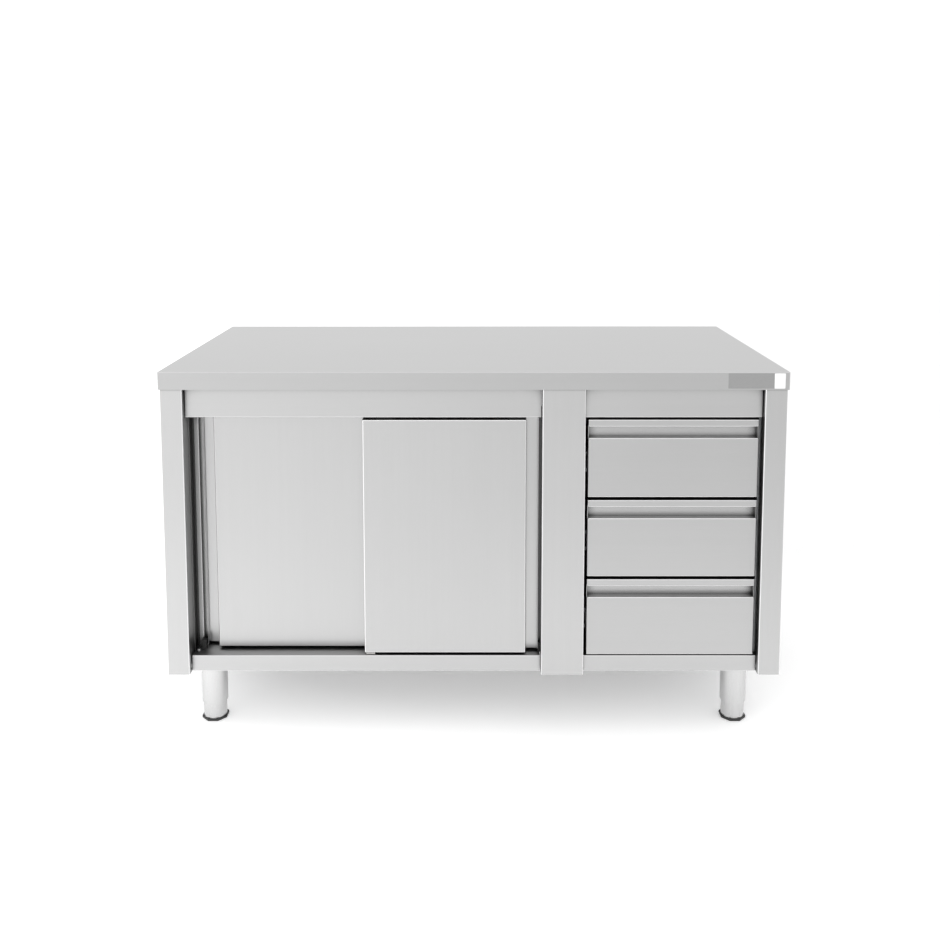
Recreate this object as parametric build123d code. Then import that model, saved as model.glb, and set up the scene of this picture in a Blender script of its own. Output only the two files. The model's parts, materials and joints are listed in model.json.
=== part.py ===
from build123d import *
import os

# A stainless steel work table on four adjustable feet: a cupboard with two sliding doors on the left
# and three drawers on the right. Millimetres, Z up, front towards -Y, origin on the floor at the middle.

# Overall size
LENGTH, DEPTH, HEIGHT = 1400, 700, 850
EDGE = 40              # height of the worktop's folded edge
UNDER = 150            # underside of the carcass above the floor
SHEET = 1.0            # carcass sheet gauge
DOOR_SHEET = 0.8
TOP_SHEET = 1.2
BEND = 2.4             # outside radius of a folded corner

# Worktop
EAVE = HEIGHT - EDGE   # underside of the worktop
LIP = 25               # width of the lip folded in under the worktop's edge
TOP_BEND = 2.0
BOARD = 18             # thickness of the sound-deadening board
STIFFENER_Y = 180

# Carcass
OVERHANG = 3           # the worktop stands out past the carcass by this much
FACE = -DEPTH / 2 + OVERHANG                 # front of the uprights
SIDE = LENGTH / 2 - OVERHANG                 # outside of the side panels
UPRIGHT = 50           # width of an upright, and the depth of its return edge behind the worktop's face
OPENING = SIDE - UPRIGHT                     # inner face of an upright
RETURN_END = -DEPTH / 2 + 50                 # where the uprights' return edges stop
RAIL_FACE = -DEPTH / 2 + 20                  # front of the headers, floor rail and drawers
HEADER = 67            # height of a header
RAIL = 37.5            # height of the front rail below the doors
FLOOR = UNDER + RAIL   # top of the cupboard floor
BACK = 345             # front face of the back panel
POST = (153, 249)      # left and right faces of the centre post
GAP = 2                # gap between a rail's end and the upright beside it
FLANGE_BACK = -265     # rear edge of a header's top flange
SHELF_Z = 448
SHELF_FRONT = -240

# Sliding doors: z range, width, and the strip left uncovered as a finger pull
DOOR_Z = (193, 737)
DOOR_WIDTH = 397
DOOR_DEPTH = 27
STRIP = 29
OVERLAP = 26
RIGHT_DOOR_EDGE = 147                        # outer edge of the right door
LEFT_DOOR_EDGE = RIGHT_DOOR_EDGE - 2 * DOOR_WIDTH + OVERLAP
LANES = {"right": -314.5, "left": -281.5}    # middle of each door's thickness, front to back
TRACK_Z = (769, 809)
TRACK_CELL = 12.5      # half the inside width of a track channel
TRACK_WALL = 1.5
TRACK_LIP = 3
SLOT = 4               # half the width of a track slot
WHEEL = 11             # roller radius
AXLE_Z = TRACK_Z[0] + TRACK_LIP + WHEEL + 0.3
AXLE = 3.0             # bore of a hanger
AXLE_PLAY = 0.03
HANGER_INSET = 50      # from a door's edge to its hanger
GUIDE_X = -237
GUIDE_SLOT = 3         # half the width of the slot along a door's lower edge

# Drawers
DRAWER_X = (257, 639)
DRAWER_BOTTOMS = (560, 375, 190)
FRONT_HEIGHT = 178
FRONT_DEPTH = 27
FLAT = 136             # height of a drawer front below its finger recess
RECESS = 26
RECESS_DEPTH = 20.5
CHEEK_SETBACK = 4      # a recess's end cheeks stand back from the front by this much
LIP_CORNER = 5         # radius of the corners above and below a recess
LIP_EDGE = 2           # outside radius of the folds above and below a recess
BAY = (251, 645)       # faces that the drawer slides are fixed to
SLIDE = 12.7           # thickness of a closed slide
SLIDE_LENGTH = 500
SLIDE_Y = -295
SLIDE_GAUGE = 1.2
BOX_HEIGHT, BOX_DEPTH, BOX_RISE = 120, 560, 12
BOX_LIP = 8

# Legs
LEG_X, LEG_Y = 616, 250
TUBE, SLEEVE, TUBE_WALL = 30, 27, 2
TUBE_BOTTOM = 43
PLATE = 4
BUSH = (111.5, 121.5)
STEM, STEM_PLAY, STEM_TOP = 8, 0.05, 120
SLEEVE_Z = (4, 85)
PAD_HEIGHT, PAD = 6, 29
BOLT_OFFSET, BOLT = 36, 3

LEGS = {
    "left_front": (-LEG_X, -LEG_Y),
    "right_front": (LEG_X, -LEG_Y),
    "left_rear": (-LEG_X, LEG_Y),
    "right_rear": (LEG_X, LEG_Y),
}


def block(x, y, z):
    """A box between two limits along each axis."""
    sizes = [abs(b - a) for a, b in (x, y, z)]
    middles = [(a + b) / 2 for a, b in (x, y, z)]
    return Pos(*middles) * Box(*sizes)


def rod(radius, at, z):
    """An upright cylinder between two heights."""
    return Pos(*at, (z[0] + z[1]) / 2) * Cylinder(radius, z[1] - z[0])


def folded_face(points, gauge, bend):
    """The section of a sheet folded square along points, with its thickness on their left."""
    near = [Vector(*p) for p in points]
    steps = [(b - a).normalized() for a, b in zip(near, near[1:])]
    sides = [Vector(-s.Y, s.X) * gauge for s in steps]
    corners = [p + a + b for p, a, b in zip(near[1:-1], sides, sides[1:])]
    far = [near[0] + sides[0], *corners, near[-1] + sides[-1]]
    lefts = [a.cross(b).Z > 0 for a, b in zip(steps, steps[1:])]
    outside, inside = bend, max(bend - gauge, 0)
    edges = FilletPolyline(*near, radius=[outside if left else inside for left in lefts]).edges()
    edges += FilletPolyline(*far, radius=[inside if left else outside for left in lefts]).edges()
    edges += [Edge.make_line(near[0], far[0]), Edge.make_line(near[-1], far[-1])]
    return make_face(edges)


def across_x(x):
    """The plane of a section in Y and Z that is extruded towards +X."""
    return Plane(origin=(x, 0, 0), x_dir=(0, 1, 0), z_dir=(1, 0, 0))


def across_y(y):
    """The plane of a section in X and Z that is extruded towards -Y."""
    return Plane(origin=(0, y, 0), x_dir=(1, 0, 0), z_dir=(0, -1, 0))


def along_x(points, x, gauge=SHEET, bend=BEND):
    """A folded sheet whose section is given in Y and Z."""
    return extrude(across_x(x[0]) * folded_face(points, gauge, bend), x[1] - x[0])


def along_y(points, y, gauge=SHEET, bend=BEND):
    """A folded sheet whose section is given in X and Z."""
    return extrude(across_y(y[1]) * folded_face(points, gauge, bend), y[1] - y[0])


def along_z(points, z, gauge=SHEET, bend=BEND):
    """A folded sheet whose section is given in X and Y."""
    return extrude(Plane.XY.offset(z[0]) * folded_face(points, gauge, bend), z[1] - z[0])


def rounding(corner, ways, radius, plane, length):
    """What is cut away to round an outside corner of a section; ways point into the section."""
    a, b = corner
    size = radius + 1
    square = Pos(a + ways[0] * (radius - 1) / 2, b + ways[1] * (radius - 1) / 2) * Rectangle(size, size)
    disc = Pos(a + ways[0] * radius, b + ways[1] * radius) * Circle(radius)
    return extrude(plane * (square - disc), length)


def mirrored(shape):
    """The same piece for the other end of the table."""
    return mirror(shape, about=Plane.YZ)


def hat(middle, half, flange, low, high, gauge):
    """Points of a hat section with its crown below, for along_x or along_y."""
    a, b = middle - half, middle + half
    top = high - gauge
    return [(a - flange, top), (a, top), (a, low), (b, low), (b, top), (b + flange, top)]


# ---- worktop ----

def worktop():
    """The skin: a top folded down on all four sides, with a lip folded in below."""
    half_x, half_y = LENGTH / 2, DEPTH / 2
    outer = block((-half_x, half_x), (-half_y, half_y), (EAVE, HEIGHT))
    outer = fillet(outer.edges().filter_by(Axis.Z), 2.5)
    outer = fillet(outer.faces().sort_by(Axis.Z)[-1].edges(), TOP_BEND)
    x, y = half_x - TOP_SHEET, half_y - TOP_SHEET
    inner = block((-x, x), (-y, y), (EAVE + TOP_SHEET, HEIGHT - TOP_SHEET))
    x, y = half_x - LIP, half_y - LIP
    return outer - inner - block((-x, x), (-y, y), (EAVE - 1, EAVE + TOP_SHEET + 1))


def worktop_board():
    x, y = LENGTH / 2 - 3, DEPTH / 2 - 3
    top = HEIGHT - TOP_SHEET
    return block((-x, x), (-y, y), (top - BOARD, top))


def worktop_stiffeners():
    high = HEIGHT - TOP_SHEET - BOARD
    x = LENGTH / 2 - 20
    return [along_x(hat(y, 40, 15, EAVE + 2, high, 1.5), (-x, x), 1.5) for y in (-STIFFENER_Y, STIFFENER_Y)]


# ---- carcass ----

def left_side_panel():
    """One sheet folded round into a front upright, the side and a rear upright."""
    points = [(-OPENING, -RETURN_END), (-OPENING, -FACE), (-SIDE, -FACE)]
    points += [(x, -y) for x, y in reversed(points)]
    return along_z(points, (UNDER, EAVE))


def centre_post():
    left, right = POST
    points = [(left, RETURN_END), (left, FACE), (right, FACE), (right, RETURN_END)]
    return along_z(points, (UNDER, EAVE))


def back_panel():
    rear = BACK + SHEET
    points = [(OPENING, rear - 15), (OPENING, rear), (-OPENING, rear), (-OPENING, rear - 15)]
    return along_z(points, (UNDER, EAVE - SHEET))


def header(x, ears):
    """A rail under the worktop, whose top flange spreads into ears behind the uprights."""
    low = EAVE - HEADER
    points = [(FLANGE_BACK, EAVE), (RAIL_FACE, EAVE), (RAIL_FACE, low), (RAIL_FACE + 4, low)]
    return along_x(points, x) + block(ears, (RETURN_END, FLANGE_BACK), (EAVE - SHEET, EAVE))


def floor_pan():
    """The floor of the whole carcass with its front rail, notched round the uprights and the post."""
    points = [(BACK, UNDER + 15), (BACK, FLOOR), (RAIL_FACE, FLOOR), (RAIL_FACE, UNDER)]
    points += [(RAIL_FACE + 15, UNDER)]
    wide = SIDE - SHEET
    pan = along_x(points, (-wide, wide))
    rail_end = OPENING - GAP
    z = (UNDER - 1, FLOOR + 1)
    for x in ((-wide - 1, -rail_end), (rail_end, wide + 1)):
        pan -= block(x, (RAIL_FACE - 1, RETURN_END), z)
        pan -= block(x, (-RETURN_END, BACK + 1), z)
    pan -= block((POST[0] - GAP, POST[1] + GAP), (RAIL_FACE - 1, RETURN_END), z)
    for at in floor_screw_places():
        pan -= rod(2.5, at, z)
    return pan


def leg_channels():
    """Two hat sections under the floor that the legs are bolted to."""
    channels = []
    for x in (-LEG_X, LEG_X):
        channel = along_y(hat(x, 45, 15, UNDER, FLOOR - SHEET, 1.5), (-298, 298), 1.5)
        for at in bolt_places():
            if at[0] * x > 0:
                channel -= rod(BOLT, at, (UNDER - 1, UNDER + 3))
        channels.append(channel)
    return channels


def cupboard_divider():
    x = POST[0]
    points = [(x + 16, EAVE - SHEET), (x, EAVE - SHEET), (x, FLOOR), (x + 16, FLOOR)]
    return along_y(points, (RETURN_END, BACK))


def bay_wall(face, outwards):
    """A plate that carries one side's drawer slides, with a foot turned away from the drawers."""
    back = face + 2 * outwards
    wall = block((face, back), (RETURN_END - 10, 250), (FLOOR, EAVE - SHEET))
    wall += block((back, back + 15 * outwards), (RETURN_END + 2, 250), (FLOOR, FLOOR + 2))
    for at in rivet_places():
        wall -= sideways_rod(2, at, sorted((face - outwards, back + outwards)))
    return wall


def mid_shelf():
    """A shelf folded down along its front and rear."""
    rear = -RETURN_END - 5
    points = [(rear, SHELF_Z - 25), (rear, SHELF_Z), (SHELF_FRONT, SHELF_Z), (SHELF_FRONT, SHELF_Z - 25)]
    return along_x(points, (-SIDE + 7, POST[0] - 3))


def shelf_brackets():
    """Four angles that hold the shelf, two on each side of the cupboard."""
    brackets = []
    for wall, inwards in ((-SIDE + SHEET, 1), (POST[0], -1)):
        for y in (-200, 250):
            top = SHELF_Z - SHEET
            angle = block((wall, wall + 20 * inwards), (y, y + 20), (top - 2, top))
            angle += block((wall, wall + 2 * inwards), (y, y + 20), (top - 28, top))
            brackets.append(angle)
    return brackets


def left_jamb_post():
    """A grooved closing strip beside the left door's outer edge."""
    x, front, groove = -OPENING + 1, -286, -274
    points = [(x, RETURN_END), (x, groove), (x + 7, groove), (x + 7, front), (x + 17, front)]
    points += [(x + 17, groove), (x + 24, groove), (x + 24, -250)]
    return along_z(points, (FLOOR, TRACK_Z[0]), bend=SHEET)


def right_jamb_post():
    x = POST[0]
    points = [(x, -250), (x - 5, -250), (x - 5, RETURN_END + 2), (x, RETURN_END + 2)]
    return along_z(points, (FLOOR, TRACK_Z[0]), bend=SHEET)


# ---- sliding doors ----

def door_track():
    """An aluminium extrusion with two slotted channels and a hollow between them."""
    low, high = TRACK_Z
    front = LANES["right"] - TRACK_CELL - TRACK_WALL
    rear = LANES["left"] + TRACK_CELL + TRACK_WALL
    x = (-OPENING + GAP, POST[0] - 1)
    track = block(x, (front, rear), TRACK_Z)
    track = chamfer(track.edges().filter_by(Axis.X).group_by(Axis.Z)[-1], 1)
    cut = (x[0] - 1, x[1] + 1)
    for lane in LANES.values():
        track -= block(cut, (lane - TRACK_CELL, lane + TRACK_CELL), (low + TRACK_LIP, high - TRACK_WALL))
        track -= block(cut, (lane - SLOT, lane + SLOT), (low - 1, low + TRACK_LIP + 1))
    middle = (LANES["right"] + TRACK_CELL + TRACK_WALL, LANES["left"] - TRACK_CELL - TRACK_WALL)
    track -= block(cut, middle, (low + TRACK_WALL, high - TRACK_WALL))
    for at in track_screw_places():
        track -= rod(2.5, at, (high - 3, high + 1))
    return track


def door_sides(side):
    """A door's inner edge, outer edge and the direction from the first to the second."""
    if side == "right":
        return RIGHT_DOOR_EDGE - DOOR_WIDTH, RIGHT_DOOR_EDGE, 1
    return LEFT_DOOR_EDGE + DOOR_WIDTH, LEFT_DOOR_EDGE, -1


def door_front(side):
    """The front pan, open behind, with a slot along its lower edge for the floor guide."""
    inner, outer, out = door_sides(side)
    front = LANES[side] - DOOR_DEPTH / 2
    back = front + DOOR_DEPTH - SHEET
    edge = outer - STRIP * out
    pan = block((inner, edge), (front, back), DOOR_Z)
    pan = fillet(pan.faces().sort_by(Axis.Y)[0].edges(), BEND)
    wall = DOOR_SHEET
    low, high = DOOR_Z
    space = block((inner + wall * out, edge - wall * out), (front + wall, back + 1), (low + wall, high - wall))
    pan -= fillet(space.faces().sort_by(Axis.Y)[0].edges(), BEND - wall)
    slot = (LANES[side] - GUIDE_SLOT, LANES[side] + GUIDE_SLOT)
    return pan - block((inner + 2 * out, edge + out), slot, (low - 1, low + 14))


def door_back(side):
    """The back skin, whose outer strip stands clear of the front pan as a finger pull."""
    inner, outer, out = door_sides(side)
    rear = LANES[side] + DOOR_DEPTH / 2
    skin = block((inner, outer), (rear - SHEET, rear), DOOR_Z)
    return skin + block((outer - SHEET * out, outer), (rear - 7, rear), DOOR_Z)


def hanger_places(side):
    """X of the two hangers of a door, from left to right."""
    inner, outer, out = door_sides(side)
    return sorted((inner + HANGER_INSET * out, outer - HANGER_INSET * out))


def door_hangers(side):
    lane, low = LANES[side], DOOR_Z[1]
    hangers = []
    for x in hanger_places(side):
        plate = block((x - 16, x + 16), (lane - 1, lane + 1), (low + 2, AXLE_Z + 8))
        foot = block((x - 20, x + 20), (lane - 10, lane + 10), (low, low + 2))
        hangers.append(plate + foot - roller_part(AXLE, x, (lane - 2, lane + 2)))
    return hangers


def roller_part(radius, x, y):
    """A cylinder along Y on a roller's axis."""
    return Pos(x, (y[0] + y[1]) / 2, AXLE_Z) * Rot(90, 0, 0) * Cylinder(radius, y[1] - y[0])


def door_roller(side, x):
    """Two wheels and their hubs on one axle through the hanger."""
    lane = LANES[side]
    roller = roller_part(AXLE - AXLE_PLAY, x, (lane - 12, lane + 12))
    for way in (-1, 1):
        hub = sorted((lane + 1.4 * way, lane + 5 * way))
        wheel = sorted((lane + 5 * way, lane + 11 * way))
        disc = roller_part(WHEEL, x, wheel)
        roller += roller_part(5, x, hub) + chamfer(disc.edges().filter_by(GeomType.CIRCLE), 0.8)
    return roller


def door_buffers():
    """Rubber blocks on the floor at the foot of each jamb post."""
    left = block((LEFT_DOOR_EDGE - 11, LEFT_DOOR_EDGE - 0.5), (-296, -286.3), (FLOOR, FLOOR + 21))
    right = block((RIGHT_DOOR_EDGE + 0.5, POST[0]), (-312, RETURN_END), (FLOOR, FLOOR + 21))
    return [fillet(b.edges().filter_by(Axis.Z), 1.5) for b in (left, right)]


def door_floor_guide():
    """A nylon block whose two fins run in the slots of the doors."""
    x = (GUIDE_X - 10, GUIDE_X + 10)
    guide = block(x, (LANES["right"] - 8, LANES["left"] + 8), (FLOOR, FLOOR + 3))
    for lane in LANES.values():
        guide += block(x, (lane - 2, lane + 2), (FLOOR + 3, FLOOR + 15))
    return guide


# ---- drawers ----

def drawer_front(low):
    """A hollow front with a full-width finger recess below its top lip."""
    left, right = DRAWER_X
    front, back = RAIL_FACE, RAIL_FACE + FRONT_DEPTH
    recess = (low + FLAT, low + FLAT + RECESS)
    deep = front + RECESS_DEPTH
    cheek = front + CHEEK_SETBACK
    shell = block(DRAWER_X, (front, back), (low, low + FRONT_HEIGHT))
    shell = fillet(shell.faces().sort_by(Axis.Y)[0].edges(), LIP_EDGE)
    hollow = block((left + SHEET, right - SHEET), (front + SHEET, back + 1),
                   (low + SHEET, low + FRONT_HEIGHT - SHEET))
    hollow -= block(DRAWER_X, (front, deep + SHEET), (recess[0] - SHEET, recess[1] + SHEET))
    reach = LIP_CORNER + SHEET
    for x in ((left, left + reach), (right - reach, right)):
        hollow -= block(x, (front, cheek + SHEET), (recess[0] - reach, recess[1] + reach))
    shell -= hollow
    shell -= block((left + SHEET, right - SHEET), (front - 1, deep), recess)
    shell -= block((left - 1, right + 1), (front - 1, cheek), recess)
    for z, away in ((recess[0], -1), (recess[1], 1)):
        shell -= rounding((front, z), (1, away), LIP_EDGE, across_x(left - 1), right - left + 2)
        for x, inwards in ((left, 1), (right, -1)):
            shell -= rounding((x, z), (inwards, away), LIP_CORNER, across_y(cheek), CHEEK_SETBACK + 1)
    return shell


def box_sides():
    return BAY[0] + SLIDE, BAY[1] - SLIDE


def drawer_box(low):
    """An open box of folded sheet, its side walls turned in along the top."""
    left, right = box_sides()
    front = RAIL_FACE + FRONT_DEPTH
    back = front + BOX_DEPTH
    bottom = low + BOX_RISE
    top = bottom + BOX_HEIGHT
    box = block((left, right), (front, back), (bottom, top))
    box = fillet(box.edges().filter_by(Axis.Y).group_by(Axis.Z)[0], BEND)
    box -= block((left + SHEET, right - SHEET), (front + SHEET, back - SHEET), (bottom + SHEET, top + 1))
    for x in ((left, left + BOX_LIP), (right - BOX_LIP, right)):
        box += block(x, (front, back), (top - SHEET, top))
    return box


def slide_middle(low):
    """Height of the middle of a drawer's slides."""
    return low + BOX_RISE + BOX_HEIGHT / 2


def channel(web, reach, half, low, length):
    """One slide member for the left side: a web at X and two flanges that reach to another X."""
    z = slide_middle(low)
    points = [(reach, z + half), (web, z + half), (web, z - half), (reach, z - half)]
    if reach < web:
        points.reverse()
    return along_y(points, (SLIDE_Y, SLIDE_Y + length), SLIDE_GAUGE, SLIDE_GAUGE)


def on_both_sides(member):
    """A slide member and its mirror image across the drawer bay."""
    middle = (BAY[0] + BAY[1]) / 2
    return [member, mirror(member, about=Plane.YZ.offset(middle))]


def outer_slides(side):
    """The fixed members of the three slides on one side."""
    members = []
    for low in DRAWER_BOTTOMS:
        member = channel(BAY[0], BAY[0] + SLIDE - 1, 22.5, low, SLIDE_LENGTH)
        for at in rivet_places():
            member -= sideways_rod(2, at, (BAY[0] - 1, BAY[0] + 2))
        members.append(on_both_sides(member)[side])
    return members


def middle_slides(low):
    return on_both_sides(channel(BAY[0] + 2.6, BAY[0] + SLIDE - 1.7, 19.6, low, SLIDE_LENGTH - 20))


def inner_slides(low):
    return on_both_sides(channel(BAY[0] + SLIDE, BAY[0] + 5, 16.9, low, SLIDE_LENGTH))


# ---- legs ----

def leg(at):
    """A tube hanging from a top plate, with a bush inside for the foot's stem."""
    top = UNDER - PLATE
    x, y = at
    tube = rod(TUBE, at, (TUBE_BOTTOM, top)) - rod(TUBE - TUBE_WALL, at, (TUBE_BOTTOM - 1, top + 1))
    tube += rod(TUBE - TUBE_WALL, at, BUSH)
    tube -= rod(STEM + STEM_PLAY, at, (BUSH[0] - 1, BUSH[1] + 1))
    plate = block((x - 45, x + 45), (y - 45, y + 45), (top, UNDER))
    plate = fillet(plate.edges().filter_by(Axis.Z), 6)
    for bolt in bolt_places():
        if abs(bolt[0] - x) < 45 and abs(bolt[1] - y) < 45:
            plate -= rod(BOLT, bolt, (top - 1, UNDER + 1))
    return tube + plate


def foot_sleeve(at):
    """The adjusting sleeve, closed at the top by a disc that carries the stem."""
    low, high = SLEEVE_Z
    sleeve = rod(SLEEVE, at, SLEEVE_Z) - rod(SLEEVE - TUBE_WALL, at, (low - 1, high - 3))
    sleeve += rod(STEM, at, (high - 3, STEM_TOP))
    return chamfer(sleeve.edges().filter_by(GeomType.CIRCLE).group_by(Axis.Z)[-1], 1)


def foot_pad(at):
    """An eight-sided moulded pad that the sleeve sits in."""
    pad = Pos(*at, 0) * Rot(0, 0, 22.5) * extrude(RegularPolygon(PAD, 8, major_radius=False), PAD_HEIGHT)
    pad = chamfer(pad.faces().sort_by(Axis.Z)[0].edges(), 1.5)
    return pad - rod(SLEEVE, at, (SLEEVE_Z[0], PAD_HEIGHT + 1))


# ---- fasteners ----

def sideways_rod(radius, at, x):
    """A cylinder along X at a place given in Y and Z."""
    return Pos((x[0] + x[1]) / 2, *at) * Rot(0, 90, 0) * Cylinder(radius, x[1] - x[0])


def bolt_places():
    signs = ((-1, -1), (-1, 1), (1, -1), (1, 1))
    return [(x + BOLT_OFFSET * a, y + BOLT_OFFSET * b) for x, y in LEGS.values() for a, b in signs]


def leg_bolts():
    """Hexagon bolts up through the leg plates and the channels."""
    bolts = []
    low = UNDER - PLATE
    for x, y in bolt_places():
        head = Pos(x, y, low - 4) * extrude(RegularPolygon(5, 6, major_radius=False), 4)
        bolts.append(head + rod(BOLT, (x, y), (low, UNDER + 10)))
    return bolts


def floor_screw_places():
    return [(-638, -301), (-638, 320), (140, 320)]


def track_screw_places():
    middle = (LANES["right"] + LANES["left"]) / 2
    return [(x, middle) for x in (-600, -240, 110)]


def carcass_screws():
    """Pan-head screws in the floor, and through the header's flange into the door track."""
    screws = [(at, FLOOR) for at in floor_screw_places()] + [(at, EAVE) for at in track_screw_places()]
    made = []
    for at, z in screws:
        head = fillet(rod(4.5, at, (z, z + 2.5)).edges().group_by(Axis.Z)[-1], 1.2)
        made.append(head + rod(2.5, at, (z - 8, z)))
    return made


def rivet_places():
    """Y and Z of the rivets in one side's slides."""
    ys = (SLIDE_Y + 30, SLIDE_Y + SLIDE_LENGTH / 2, SLIDE_Y + SLIDE_LENGTH - 30)
    return [(y, slide_middle(low)) for low in DRAWER_BOTTOMS for y in ys]


def slide_rivets():
    face = BAY[0]
    web = face + SLIDE_GAUGE
    rivets = []
    for at in rivet_places():
        rivet = sideways_rod(2, at, (face - 2, web)) + sideways_rod(4, at, (web, web + 0.8))
        rivets += on_both_sides(rivet)
    return rivets


def cupboard_header():
    rail = header((-OPENING + GAP, POST[0] - GAP), (-SIDE + SHEET, POST[0] + 16))
    for at in track_screw_places():
        rail -= rod(2.5, at, (EAVE - 3, EAVE + 1))
    return rail


def drawer_header():
    return header((POST[1] + GAP, OPENING - GAP), (POST[1] - 14, SIDE - SHEET))


def every_part():
    """Each node's name and its solid or solids."""
    parts = {
        "worktop": worktop(),
        "worktop_board": worktop_board(),
        "worktop_stiffeners": worktop_stiffeners(),
        "left_side_panel": left_side_panel(),
        "right_side_panel": mirrored(left_side_panel()),
        "centre_post": centre_post(),
        "back_panel": back_panel(),
        "cupboard_header": cupboard_header(),
        "drawer_header": drawer_header(),
        "floor_pan": floor_pan(),
        "leg_channels": leg_channels(),
        "cupboard_divider": cupboard_divider(),
        "drawer_bay_left_wall": bay_wall(BAY[0], -1),
        "drawer_bay_right_wall": bay_wall(BAY[1], 1),
        "mid_shelf": mid_shelf(),
        "shelf_brackets": shelf_brackets(),
        "left_jamb_post": left_jamb_post(),
        "right_jamb_post": right_jamb_post(),
        "door_track": door_track(),
        "door_buffers": door_buffers(),
        "door_floor_guide": door_floor_guide(),
        "outer_slides_left": outer_slides(0),
        "outer_slides_right": outer_slides(1),
        "leg_bolts": leg_bolts(),
        "carcass_screws": carcass_screws(),
        "slide_rivets": slide_rivets(),
    }
    for side in LANES:
        parts[f"{side}_door_front"] = door_front(side)
        parts[f"{side}_door_back"] = door_back(side)
        parts[f"{side}_door_hangers"] = door_hangers(side)
        for number, x in enumerate(hanger_places(side), 1):
            parts[f"{side}_door_roller_{number}"] = door_roller(side, x)
    for number, low in enumerate(DRAWER_BOTTOMS, 1):
        parts[f"drawer_{number}_front"] = drawer_front(low)
        parts[f"drawer_{number}_box"] = drawer_box(low)
        parts[f"drawer_{number}_inner_slides"] = inner_slides(low)
        parts[f"drawer_{number}_middle_slides"] = middle_slides(low)
    for corner, at in LEGS.items():
        parts[f"{corner}_leg"] = leg(at)
        parts[f"{corner}_foot_sleeve"] = foot_sleeve(at)
        parts[f"{corner}_foot_pad"] = foot_pad(at)
    return parts


os.makedirs("parts", exist_ok=True)
for name, shape in every_part().items():
    solids = shape if isinstance(shape, list) else [shape]
    export_step(Compound(children=[s for piece in solids for s in piece.solids()]), f"parts/{name}.step")
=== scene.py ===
import json
import math
import bmesh
import bpy
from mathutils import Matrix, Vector


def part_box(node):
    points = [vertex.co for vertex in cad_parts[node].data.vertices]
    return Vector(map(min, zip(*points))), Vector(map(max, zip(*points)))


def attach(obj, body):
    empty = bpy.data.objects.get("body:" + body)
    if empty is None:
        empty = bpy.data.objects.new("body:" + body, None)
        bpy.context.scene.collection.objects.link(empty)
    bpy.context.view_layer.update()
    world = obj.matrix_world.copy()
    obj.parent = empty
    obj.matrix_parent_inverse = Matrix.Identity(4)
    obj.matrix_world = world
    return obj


# Looks for the stainless work table. Metres, Z up, front towards -Y, and the origin on the
# floor under the middle of the table.

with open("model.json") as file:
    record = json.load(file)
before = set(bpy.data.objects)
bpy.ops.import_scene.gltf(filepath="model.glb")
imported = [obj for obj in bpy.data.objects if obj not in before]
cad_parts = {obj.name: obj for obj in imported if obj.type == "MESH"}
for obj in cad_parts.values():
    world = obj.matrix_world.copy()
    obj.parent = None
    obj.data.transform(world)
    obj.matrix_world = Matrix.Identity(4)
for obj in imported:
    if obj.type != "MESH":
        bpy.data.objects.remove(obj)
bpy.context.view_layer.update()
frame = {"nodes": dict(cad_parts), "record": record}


# ---- materials ----

X, Z = (1, 0, 0), (0, 0, 1)    # the ways that a grain runs
EVEN = (1, 1, 1)               # noise that isn't drawn out
ALONG_GRAIN = 0.012            # the noise's scale along the grain, against 1 across it
NOISE_ROUGHNESS = 0.55
NOISE_SPAN = (0.3, 0.7)        # where most of a noise's values lie
FOLD_COSINES = (0.95, 0.999)   # wholly a fold 18 degrees off the nearest axis, flat within 3

FINE_GRAIN = (1400, 4)         # a noise's scale and detail
BROAD_GRAIN = (90, 3)
CLOUD = (3.2, 2)
BROAD_SHARE = 0.35             # how much of the broad grain is in the streaks
CLOUD_SHARE = 0.3              # how much of the cloud is in the steel's mottle
SPREAD = 0.03                  # how far the steel's tone strays, as a part of it
GLOSS_SPREAD = 0.035           # how far its roughness strays
CREVICE_SHADE_TONE = 0.2             # the tone of the painted shade in the deepest crevice, as a part of the steel's own
BRUSH_STRENGTH = 0.05
BRUSH_HEIGHT = 0.0002
GRAIN_DETAIL = 4
GRAIN_GLOSS = (-0.05, 0.06)    # how far the roughness of the other materials strays
GRAIN_HEIGHT = 0.0005


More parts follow.
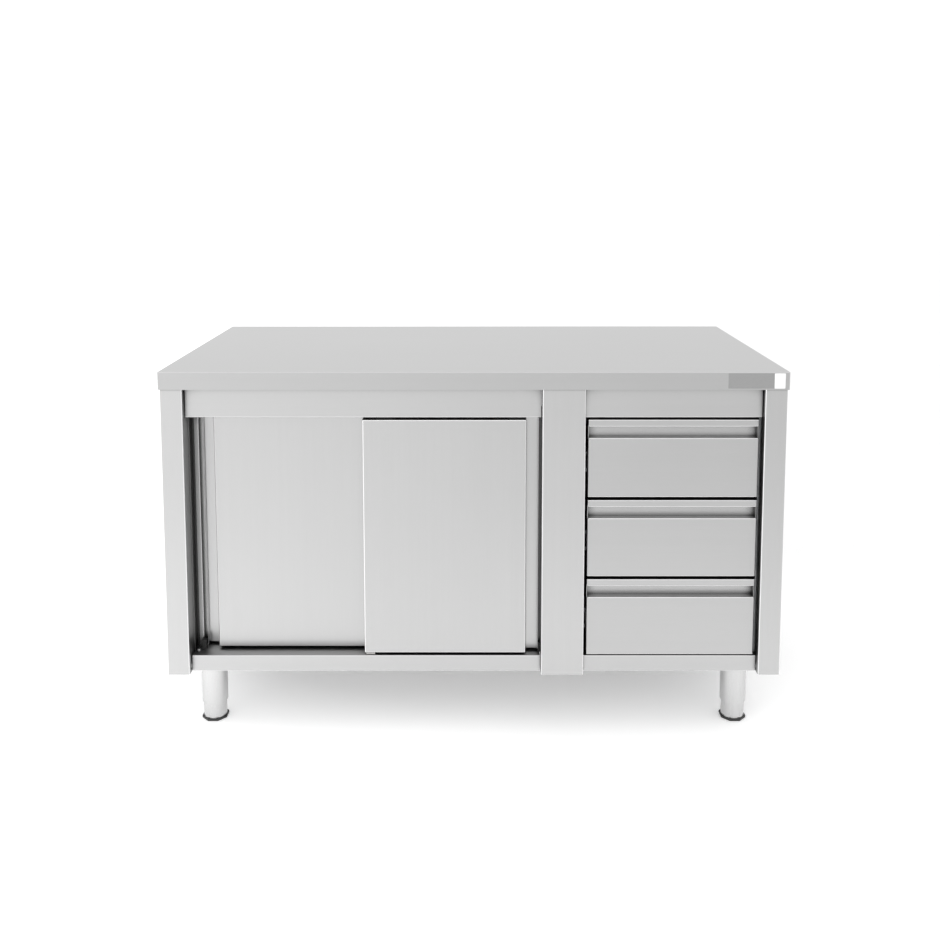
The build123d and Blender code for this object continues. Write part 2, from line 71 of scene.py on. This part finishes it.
class Graph:
    """A material's node tree, with short calls that add nodes and join them."""

    def __init__(self, name):
        self.material = bpy.data.materials.new(name)
        self.material.use_nodes = True
        self.tree = self.material.node_tree
        self.shader = self.tree.nodes["Principled BSDF"]

    def add(self, kind, **settings):
        node = self.tree.nodes.new(kind)
        for name, value in settings.items():
            setattr(node, name, value)
        return node

    def join(self, source, target):
        self.tree.links.new(source, target)

    def place(self):
        """The object's own coordinates."""
        return self.add("ShaderNodeTexCoord").outputs["Object"]

    def vector(self, operation, source, other=None):
        """A vector operation on one vector, or on it and a fixed one."""
        node = self.add("ShaderNodeVectorMath", operation=operation)
        self.join(source, node.inputs[0])
        if other is not None:
            node.inputs[1].default_value = other
        return node

    def maths(self, operation, first, second=None):
        """An operation on one value, or on two, of which the second may be a number."""
        node = self.add("ShaderNodeMath", operation=operation)
        self.join(first, node.inputs[0])
        if isinstance(second, (int, float)):
            node.inputs[1].default_value = second
        elif second is not None:
            self.join(second, node.inputs[1])
        return node.outputs["Value"]

    def axes(self, vector):
        """A node that gives a vector's X, Y and Z."""
        node = self.add("ShaderNodeSeparateXYZ")
        self.join(vector, node.inputs["Vector"])
        return node

    def noise(self, place, stretch, scale, detail):
        """Noise over a place, drawn out where stretch is small."""
        mapping = self.add("ShaderNodeMapping")
        mapping.inputs["Scale"].default_value = stretch
        self.join(place, mapping.inputs["Vector"])
        noise = self.add("ShaderNodeTexNoise")
        noise.inputs["Scale"].default_value = scale
        noise.inputs["Detail"].default_value = detail
        noise.inputs["Roughness"].default_value = NOISE_ROUGHNESS
        self.join(mapping.outputs["Vector"], noise.inputs["Vector"])
        return noise.outputs["Fac"]

    def spread(self, value, low, high, source=NOISE_SPAN):
        """value, which runs over source, turned into the range low to high."""
        node = self.add("ShaderNodeMapRange")
        node.inputs["From Min"].default_value = source[0]
        node.inputs["From Max"].default_value = source[1]
        node.inputs["To Min"].default_value = low
        node.inputs["To Max"].default_value = high
        self.join(value, node.inputs["Value"])
        return node.outputs["Result"]

    def blended(self, share, first, second):
        """A value between two, by a fixed share of the second."""
        mix = self.add("ShaderNodeMix", data_type="FLOAT")
        mix.inputs["Factor"].default_value = share
        self.join(first, mix.inputs["A"])
        self.join(second, mix.inputs["B"])
        return mix.outputs["Result"]

    def mixed(self, factor, first, second):
        """A colour between two; each is a socket or a fixed colour."""
        mix = self.add("ShaderNodeMix", data_type="RGBA")
        for name, colour in (("A", first), ("B", second)):
            if isinstance(colour, tuple):
                mix.inputs[name].default_value = (*colour, 1)
            else:
                self.join(colour, mix.inputs[name])
        self.join(factor, mix.inputs["Factor"])
        return mix.outputs["Result"]

    def bump(self, height, strength, distance):
        """Gives the shader small hills from a height."""
        node = self.add("ShaderNodeBump")
        node.inputs["Strength"].default_value = strength
        node.inputs["Distance"].default_value = distance
        self.join(height, node.inputs["Height"])
        self.join(node.outputs["Normal"], self.shader.inputs["Normal"])

    def fold_highlight_mask(self):
        """1 on the rounded folds between faces that are square to the axes, 0 on the faces: where
        the painted highlight goes.
        """
        normal = self.add("ShaderNodeTexCoord").outputs["Normal"]
        parts = self.axes(self.vector("ABSOLUTE", normal).outputs["Vector"])
        widest = self.maths("MAXIMUM", parts.outputs["X"], parts.outputs["Y"])
        widest = self.maths("MAXIMUM", widest, parts.outputs["Z"])
        return self.spread(widest, 1, 0, FOLD_COSINES)

    def crevice_shade_factor(self, reach, openness):
        """1 in the open, less in corners, grooves and gaps, where the steel gets painted shade."""
        node = self.add("ShaderNodeAmbientOcclusion", samples=8)
        node.inputs["Distance"].default_value = reach
        return self.spread(node.outputs["AO"], 0, 1, openness)


def grey(value, warmth=0.0):
    """A near-neutral grey, a little warmer or cooler."""
    return (min(1, value * (1 + warmth)), min(1, value), min(1, value * (1 - warmth)))


def stretched(grain):
    """A scale that leaves noise long along the grain and fine across it."""
    return tuple(ALONG_GRAIN if along else 1.0 for along in grain)


def brushed(name, tone, grain, roughness=0.34, fold=0.8, reach=0.045, openness=(0.1, 0.72)):
    """Satin stainless steel with its grain along one axis, painted highlights on folds and painted
    shade in crevices.

    fold is the tone of a fold's painted highlight, and reach is how near another surface must be
    to paint shade.
    openness is how open a spot is where the painted shade is deepest, and where it ends.
    """
    g = Graph(name)
    place = g.place()
    fine = g.noise(place, stretched(grain), *FINE_GRAIN)
    broad = g.noise(place, stretched(grain), *BROAD_GRAIN)
    streaks = g.blended(BROAD_SHARE, fine, broad)
    mottle = g.blended(CLOUD_SHARE, streaks, g.noise(place, EVEN, *CLOUD))
    colour = g.mixed(g.spread(mottle, 0, 1), grey(tone * (1 - SPREAD)), grey(tone * (1 + SPREAD)))
    # Painted shade: ambient occlusion darkens corners, grooves and gaps towards the crevice shade
    # tone.
    colour = g.mixed(g.crevice_shade_factor(reach, openness), grey(tone * CREVICE_SHADE_TONE), colour)
    # Painted highlight: the rounded folds are lightened towards the fold tone.
    colour = g.mixed(g.fold_highlight_mask(), colour, grey(fold))
    g.join(colour, g.shader.inputs["Base Color"])
    gloss = g.spread(mottle, roughness - GLOSS_SPREAD, roughness + GLOSS_SPREAD)
    g.join(gloss, g.shader.inputs["Roughness"])
    g.bump(streaks, BRUSH_STRENGTH, BRUSH_HEIGHT)
    g.shader.inputs["Metallic"].default_value = 1.0
    return g.material


def grained(name, dark, light, roughness, scale, bump, metallic=0.0, stretch=EVEN):
    """A material whose colour, gloss and surface vary with one noise."""
    g = Graph(name)
    value = g.noise(g.place(), stretch, scale, GRAIN_DETAIL)
    g.join(g.mixed(g.spread(value, 0, 1), dark, light), g.shader.inputs["Base Color"])
    gloss = g.spread(value, roughness + GRAIN_GLOSS[0], roughness + GRAIN_GLOSS[1])
    g.join(gloss, g.shader.inputs["Roughness"])
    g.bump(value, bump, GRAIN_HEIGHT)
    g.shader.inputs["Metallic"].default_value = metallic
    return g.material


SLOT_MATERIALS = {
    "worktop_steel": brushed("steel_worktop", 0.455, X, roughness=0.36, fold=0.6),
    "panel_steel": brushed("steel_lengthwise", 0.49, X, fold=0.7),
    "door_steel": brushed("steel_door", 0.49, Z, roughness=0.33, fold=0.95, reach=0.012),
    "drawer_steel": brushed("steel_drawer", 0.47, X, roughness=0.33, fold=0.85, reach=0.022,
                            openness=(0.3, 0.66)),
    "leg_steel": brushed("steel_leg", 0.6, Z, roughness=0.28, fold=0.6, reach=0.02),
    "galvanised_steel": grained("galvanised_steel", grey(0.42, -0.02), grey(0.58, -0.02),
                                roughness=0.42, scale=60, bump=0.05, metallic=1.0),
    "zinc_slide": grained("zinc_plate", grey(0.50, -0.02), grey(0.60, -0.02),
                          roughness=0.3, scale=40, bump=0.03, metallic=1.0, stretch=(1, 0.05, 1)),
    "fastener_steel": grained("fastener_steel", grey(0.5), grey(0.62),
                              roughness=0.3, scale=300, bump=0.05, metallic=1.0),
    # Near-black, partly the door hangers' dark finish and partly painted shade, so that they
    # vanish into the shaded gap above the doors.
    "blackened_steel": grained("blackened_steel", grey(0.03), grey(0.06),
                               roughness=0.5, scale=300, bump=0.1, metallic=1.0),
    "track_aluminium": grained("extruded_aluminium", grey(0.62), grey(0.72), roughness=0.35,
                               scale=220, bump=0.04, metallic=1.0, stretch=(0.02, 1, 1)),
    "nylon": grained("nylon", grey(0.74, 0.02), grey(0.82, 0.02),
                     roughness=0.5, scale=160, bump=0.08),
    "black_plastic": grained("black_plastic", grey(0.012), grey(0.03),
                             roughness=0.5, scale=380, bump=0.3),
    "black_rubber": grained("black_rubber", grey(0.012), grey(0.025),
                            roughness=0.7, scale=500, bump=0.3),
    "wood_board": grained("chipboard", (0.36, 0.24, 0.13), (0.62, 0.47, 0.30),
                          roughness=0.8, scale=260, bump=0.6),
}
UPRIGHT_STEEL = brushed("steel_upright", 0.50, Z, reach=0.06, openness=(0.35, 0.9))
UPRIGHT_SHEETS = ("left_side_panel", "right_side_panel", "centre_post", "left_jamb_post",
                  "right_jamb_post", "cupboard_divider")
LABEL_FOIL = grained("label_foil", grey(0.26), grey(0.31), roughness=0.4, scale=900, bump=0.03)
LABEL_WHITE = grained("label_white", grey(0.86), grey(0.92), roughness=0.4, scale=900, bump=0.03)


def paint_cad():
    """Gives every CAD node the material of its slot, with upright grain on the upright sheets."""
    for part in frame["record"]["subparts"]:
        node = frame["nodes"][part["node"]]
        material = SLOT_MATERIALS[part["material_slot"]]
        if part["node"] in UPRIGHT_SHEETS:
            material = UPRIGHT_STEEL
        node.data.materials.clear()
        node.data.materials.append(material)


# ---- pieces ----

LABEL_END = 0.011              # from the label to the worktop's right end
LABEL_FIELD = 0.102            # the length of its grey part
LABEL_TAB = 0.024              # the length of its white part
LABEL_MARGIN = 0.003           # from the label to the top and the bottom of the worktop's edge
LABEL_CORNER = 0.0012
LABEL_THICKNESS = 0.0003
ARC_STEPS = 6                  # the sides of a quarter circle
PLATE_EASE = 0.4               # the eased edge of a plate, as a part of its thickness


def rounded_outline(x, z, radius):
    """Points round a rectangle in X and Z whose corners are arcs."""
    corners = ((x[1], z[0], -90), (x[1], z[1], 0), (x[0], z[1], 90), (x[0], z[0], 180))
    points = []
    for corner_x, corner_z, start in corners:
        middle_x = corner_x - math.copysign(radius, corner_x - sum(x) / 2)
        middle_z = corner_z - math.copysign(radius, corner_z - sum(z) / 2)
        for step in range(ARC_STEPS + 1):
            turn = math.radians(start + 90 * step / ARC_STEPS)
            points.append((middle_x + radius * math.cos(turn), middle_z + radius * math.sin(turn)))
    return points


def plate(name, outline, y, material):
    """A thin plate facing -Y, from an outline in X and Z, with its edge eased."""
    front, back = y
    ease = (back - front) * PLATE_EASE
    middle = Vector((sum(x for x, _ in outline), sum(z for _, z in outline))) / len(outline)
    mesh = bmesh.new()
    rings = []
    for level, inset in ((back, 0), (front + ease, 0), (front, ease)):
        ring = []
        for x, z in outline:
            outwards = (Vector((x, z)) - middle).normalized()
            point = Vector((x, z)) - outwards * inset
            ring.append(mesh.verts.new((point.x, level, point.y)))
        rings.append(ring)
    for near, far in zip(rings, rings[1:]):
        for n in range(len(outline)):
            after = (n + 1) % len(outline)
            mesh.faces.new((near[n], near[after], far[after], far[n]))
    mesh.faces.new(rings[-1])
    mesh.faces.new(list(reversed(rings[0])))
    bmesh.ops.recalc_face_normals(mesh, faces=mesh.faces)
    data = bpy.data.meshes.new(name)
    mesh.to_mesh(data)
    mesh.free()
    data.materials.append(material)
    piece = bpy.data.objects.new(name, data)
    bpy.context.scene.collection.objects.link(piece)
    return piece


def label():
    """A blank two-part label at the right end of the worktop's front edge."""
    low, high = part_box("worktop")
    y = (low.y - LABEL_THICKNESS, low.y)
    z = (low.z + LABEL_MARGIN, high.z - LABEL_MARGIN)
    right = high.x - LABEL_END
    split = right - LABEL_TAB
    halves = (
        ("label_field", (split - LABEL_FIELD, split), LABEL_FOIL, "track_aluminium"),
        ("label_tab", (split, right), LABEL_WHITE, "nylon"),
    )
    for name, x, material, finish in halves:
        piece = plate(name, rounded_outline(x, z, LABEL_CORNER), y, material)
        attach(piece, "carcass")


# ---- studio ----

FLOOR_REACH = 30               # from the middle of the floor to each side
FLOOR_TONES = (0.86, 0.88)
FLOOR_CLOUD = (2.0, 2)         # a noise's scale and detail
FLOOR_ROUGHNESS = 0.8
LEFT_GLOW, RIGHT_GLOW = 0.32, 0.02
GLOW_ENDS = (-1.1, 1.1)        # the X where the floor has its left and its right glow
FRONT_GLOW = 0.36              # more glow just in front of the table
FRONT_LINE = 0.7               # how far in front of the origin it is strongest
FRONT_REACH = 1.5              # how far from that line it ends
SHADE_SQUEEZE = (0.4, 1, 0)    # turns the long shade under the table into a round one
SHADE_MIDDLE = (0, 0.1, 0)
SHADE_RIM = (0.25, 0.55)       # how far from its middle the shade is deepest, and ends
SHADE_GLOW = 0.1               # the part of the glow that is left in the shade

ROOM_BRIGHTNESS = 1.15
ROOM_SLOPE = (-0.12, 0, 0)     # brighter to the left
# Each light's name, place, target, width and height, and power in watts.
SOFTBOXES = (
    ("key", (-3.0, -3.2, 1.6), (-0.3, 0, 0.3), (2.2, 2.2), 10),
    ("left_strip", (-3.4, 0.2, 1.0), (0, -0.3, 0.5), (0.3, 2.2), 5),
    ("right_strip", (3.4, 0.2, 1.0), (0, -0.3, 0.5), (0.3, 2.2), 4),
)

CAMERA_PLACE = (0.007, -2.564, 1.2743)
CAMERA_TILT = 5.79             # degrees below level
LENS_LENGTH = 38.97            # millimetres
LENS_SHIFT = (-0.0073, -0.20)


def studio_floor():
    """Matt white, with a painted glow that is most on the left and in front, and least under the
    table, where it leaves a painted shadow.
    """
    g = Graph("studio_floor")
    place = g.place()
    tone = g.spread(g.noise(place, EVEN, *FLOOR_CLOUD), 0, 1)
    dark, light = FLOOR_TONES
    g.join(g.mixed(tone, grey(dark), grey(light)), g.shader.inputs["Base Color"])
    g.shader.inputs["Roughness"].default_value = FLOOR_ROUGHNESS
    g.shader.inputs["Emission Color"].default_value = (1, 1, 1, 1)
    parts = g.axes(place)
    across = g.spread(parts.outputs["X"], LEFT_GLOW, RIGHT_GLOW, GLOW_ENDS)
    from_front = g.maths("ABSOLUTE", g.maths("ADD", parts.outputs["Y"], FRONT_LINE))
    near = g.spread(from_front, FRONT_GLOW, 0, (0, FRONT_REACH))
    flat = g.vector("MULTIPLY", place, SHADE_SQUEEZE).outputs["Vector"]
    from_middle = g.vector("DISTANCE", flat, SHADE_MIDDLE).outputs["Value"]
    outside = g.spread(from_middle, SHADE_GLOW, 1, SHADE_RIM)
    glow = g.maths("ADD", g.maths("MULTIPLY", across, outside), near)
    g.join(glow, g.shader.inputs["Emission Strength"])
    return g.material


def floor():
    """A plain pale floor."""
    mesh = bpy.data.meshes.new("floor")
    signs = ((-1, -1), (1, -1), (1, 1), (-1, 1))
    corners = [(x * FLOOR_REACH, y * FLOOR_REACH, 0) for x, y in signs]
    mesh.from_pydata(corners, [], [(0, 1, 2, 3)])
    plane = bpy.data.objects.new("floor", mesh)
    bpy.context.scene.collection.objects.link(plane)
    mesh.materials.append(studio_floor())


def softbox(name, place, target, size, power):
    """An area light aimed at a point."""
    light = bpy.data.lights.new(name, "AREA")
    light.shape = "RECTANGLE"
    light.size, light.size_y = size
    light.energy = power
    lamp = bpy.data.objects.new(name, light)
    lamp.location = place
    aim = Vector(target) - Vector(place)
    lamp.rotation_euler = aim.to_track_quat("-Z", "Y").to_euler()
    bpy.context.scene.collection.objects.link(lamp)


def surroundings():
    """A white room, a little brighter to the left of the table."""
    world = bpy.data.worlds.new("studio")
    world.use_nodes = True
    tree = world.node_tree
    background = tree.nodes["Background"]
    direction = tree.nodes.new("ShaderNodeTexCoord").outputs["Generated"]
    slope = tree.nodes.new("ShaderNodeVectorMath")
    slope.operation = "DOT_PRODUCT"
    slope.inputs[1].default_value = ROOM_SLOPE
    tree.links.new(direction, slope.inputs[0])
    level = tree.nodes.new("ShaderNodeMath")
    level.operation = "ADD"
    level.inputs[1].default_value = ROOM_BRIGHTNESS
    tree.links.new(slope.outputs["Value"], level.inputs[0])
    tree.links.new(level.outputs["Value"], background.inputs["Strength"])
    background.inputs["Color"].default_value = (1, 1, 1, 1)
    bpy.context.scene.world = world


def studio():
    """The room, the floor and the lights."""
    bpy.context.scene.view_settings.view_transform = "Standard"
    surroundings()
    floor()
    for light in SOFTBOXES:
        softbox(*light)


def camera():
    """The studio camera: slightly above the table, looking at its front."""
    data = bpy.data.cameras.new("camera")
    data.lens = LENS_LENGTH
    data.shift_x, data.shift_y = LENS_SHIFT
    lens = bpy.data.objects.new("camera", data)
    lens.location = CAMERA_PLACE
    lens.rotation_euler = (math.radians(90 - CAMERA_TILT), 0, 0)
    bpy.context.scene.collection.objects.link(lens)
    bpy.context.scene.camera = lens


paint_cad()
label()
studio()
camera()
